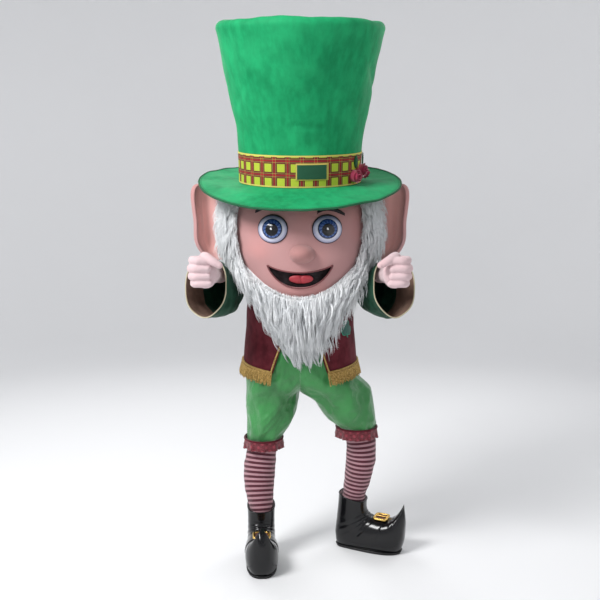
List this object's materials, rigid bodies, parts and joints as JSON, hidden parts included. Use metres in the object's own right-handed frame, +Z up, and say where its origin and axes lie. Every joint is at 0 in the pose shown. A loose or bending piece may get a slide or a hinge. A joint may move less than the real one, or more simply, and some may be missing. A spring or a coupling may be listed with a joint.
{
  "type": "leprechaun costume",
  "caption": "Worn, hollow leprechaun mascot costume: tall hat, big bearded head, green top with bell sleeves, vest, knee breeches, striped stockings, gloves and curled buckle boots.",
  "frame": {"origin": "the middle between the wearer's shoulders, where the costume is carried, 1.36 m over the soles", "axes": "+Z up, the costume faces -Y, +X is the wearer's left"},
  "size_m": [0.8745, 0.8071, 2.1657],
  "materials": {
    "hat_velvet": "green velvet with a soft sheen",
    "top_velvet": "dark green crushed velvet",
    "satin": "bright green satin, slightly shiny",
    "tartan": "matte woven tartan in burgundy, lime, red and yellow",
    "mesh": "dark green see-through mesh",
    "rose_ribbon": "magenta satin ribbon",
    "leaf_cloth": "dark green ribbon",
    "skin_cloth": "pink fleece, matte",
    "glove_cloth": "pale pink fleece, matte",
    "white_fur": "long white pile",
    "black_vinyl": "shiny black vinyl",
    "mouth_dark": "near black cloth, matte",
    "tongue_red": "red cloth",
    "eye_white": "glossy",
    "eye_blue": "glossy",
    "brow_dark": "short dark pile",
    "sleeve_lining": "brown lining cloth",
    "vest_velvet": "burgundy velvet",
    "gold_trim": "gold thread with a metallic shine",
    "shamrock_felt": "teal green felt",
    "lace": "burgundy lace",
    "stocking_knit": "knit in pale pink and burgundy stripes",
    "buckle_gold": "polished gold colour",
    "boot_lining": "pale lining cloth"
  },
  "bodies": {
    "root": {"hat_crown": "hat_velvet", "hat_brim": "hat_velvet", "hat_band": "tartan", "hat_window": "mesh", "rose_outer": "rose_ribbon", "rose_middle": "rose_ribbon", "rose_low": "rose_ribbon", "leaf_front": "leaf_cloth", "leaf_side": "leaf_cloth", "head_shell": "skin_cloth", "nose": "skin_cloth", "ear_right": "skin_cloth", "ear_left": "skin_cloth", "mouth_lining": "mouth_dark", "tongue": "tongue_red", "head_hair": "white_fur", "beard_lower": "white_fur", "beard_upper": "white_fur", "eye_right": "eye_white", "eye_left": "eye_white", "iris_right": "eye_blue", "iris_left": "eye_blue", "brow_right": "brow_dark", "brow_left": "brow_dark", "shirt_front": "top_velvet", "shirt_back": "top_velvet", "sleeve_right": "top_velvet", "sleeve_left": "top_velvet", "sleeve_lining_right": "sleeve_lining", "sleeve_lining_left": "sleeve_lining", "glove_right": "glove_cloth", "glove_left": "glove_cloth", "vest_front_right": "vest_velvet", "vest_front_left": "vest_velvet", "vest_back": "vest_velvet", "vest_piping_right": "gold_trim", "vest_piping_left": "gold_trim", "fringe_front_right": "gold_trim", "fringe_front_left": "gold_trim", "fringe_back": "gold_trim", "shamrock": "shamrock_felt", "breeches_front_right": "satin", "breeches_front_left": "satin", "breeches_back_right": "satin", "breeches_back_left": "satin", "knee_cuff_right": "lace", "knee_cuff_left": "lace", "stocking_right": "stocking_knit", "stocking_left": "stocking_knit", "boot_right": "black_vinyl", "boot_left": "black_vinyl", "sole_right": "black_vinyl", "sole_left": "black_vinyl", "strap_right": "black_vinyl", "strap_left": "black_vinyl", "boot_lining_right": "boot_lining", "boot_lining_left": "boot_lining", "buckle_right": "buckle_gold", "buckle_left": "buckle_gold"}
  },
  "joints": []
}
